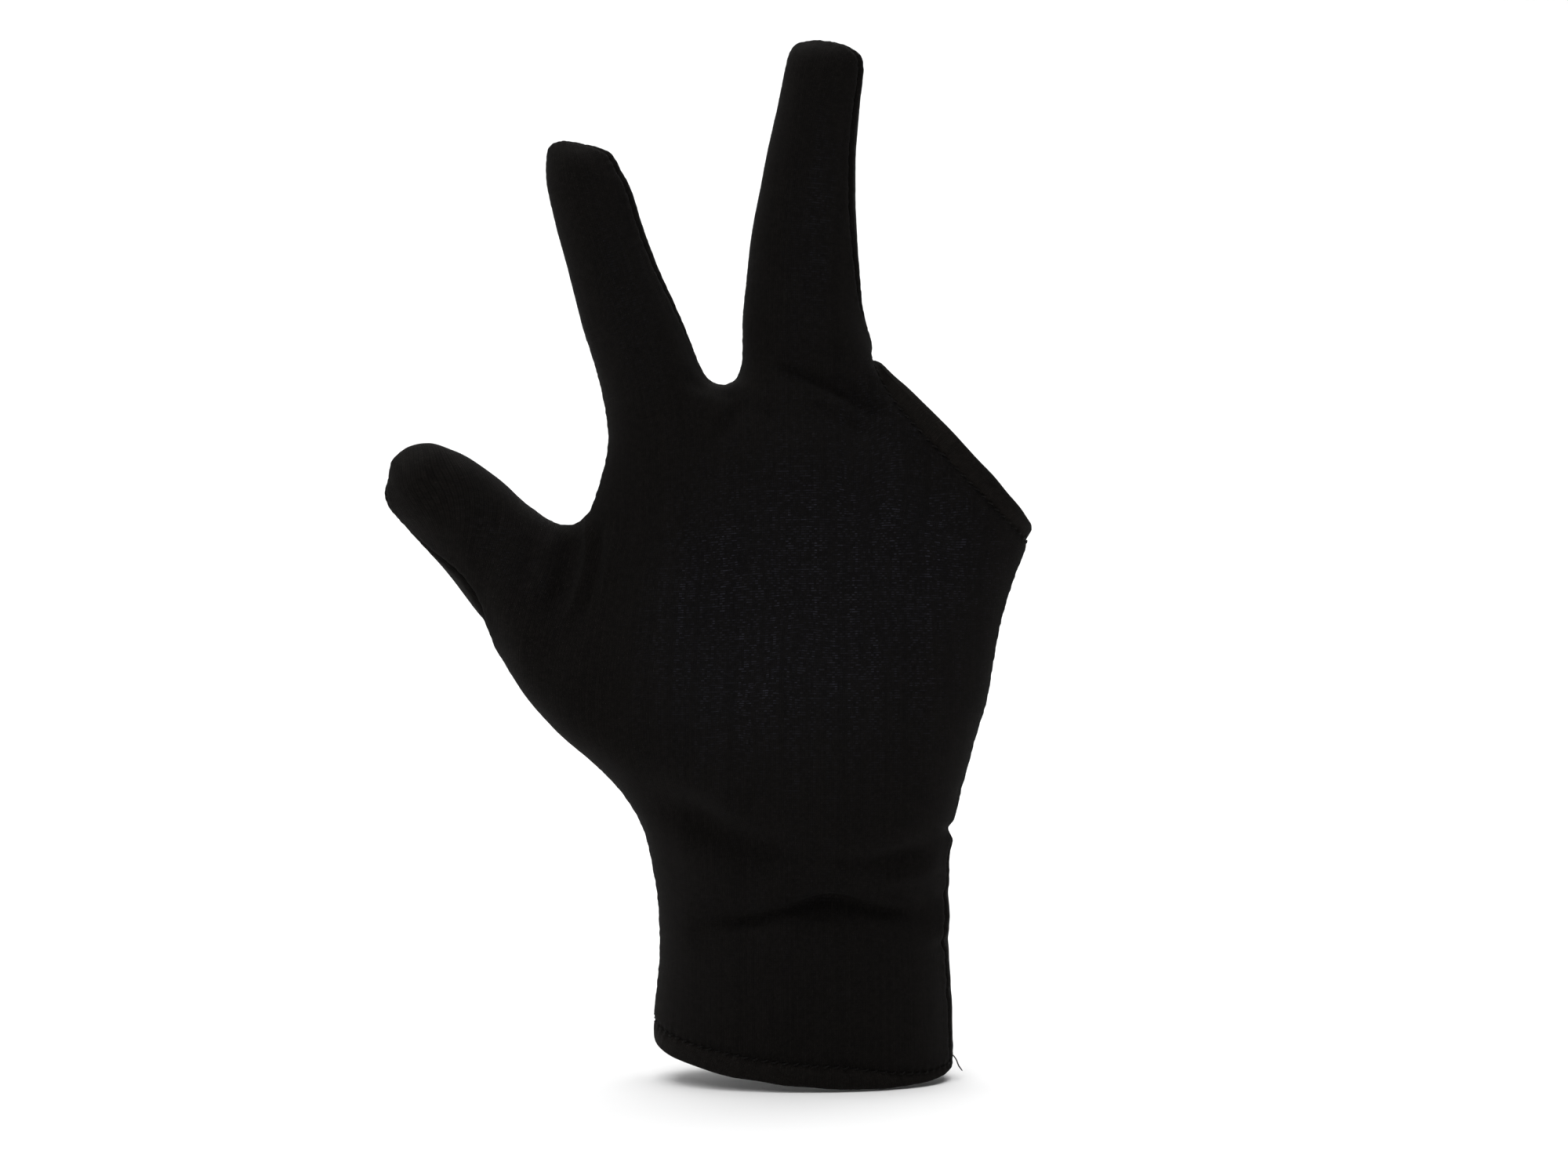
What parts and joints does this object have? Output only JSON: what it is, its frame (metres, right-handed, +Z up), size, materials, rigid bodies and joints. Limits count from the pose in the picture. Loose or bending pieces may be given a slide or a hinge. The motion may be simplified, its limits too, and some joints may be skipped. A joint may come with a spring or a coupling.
{
  "type": "ironing glove",
  "caption": "Black stretch-knit heat glove on a spread left hand: thumb, index and middle finger closed, a slanting hemmed opening for the others, hemmed cuff.",
  "frame": {"origin": "centre of the wrist opening's edge", "axes": "+Z up along the fingers, -Y out of the palm, +X towards the little finger's side; the thumb points to -X"},
  "size_m": [0.1367, 0.042, 0.2188],
  "materials": {
    "palm_panel": "fine stretch knit, matt",
    "back_panel": "fine stretch knit, matt",
    "cuff_hem": "doubled fine stretch knit, matt",
    "finger_opening_hem": "doubled fine stretch knit, matt"
  },
  "bodies": {
    "root": {"palm_panel": "palm_panel", "back_panel": "back_panel", "cuff_hem": "cuff_hem", "finger_opening_hem": "finger_opening_hem"}
  },
  "joints": []
}
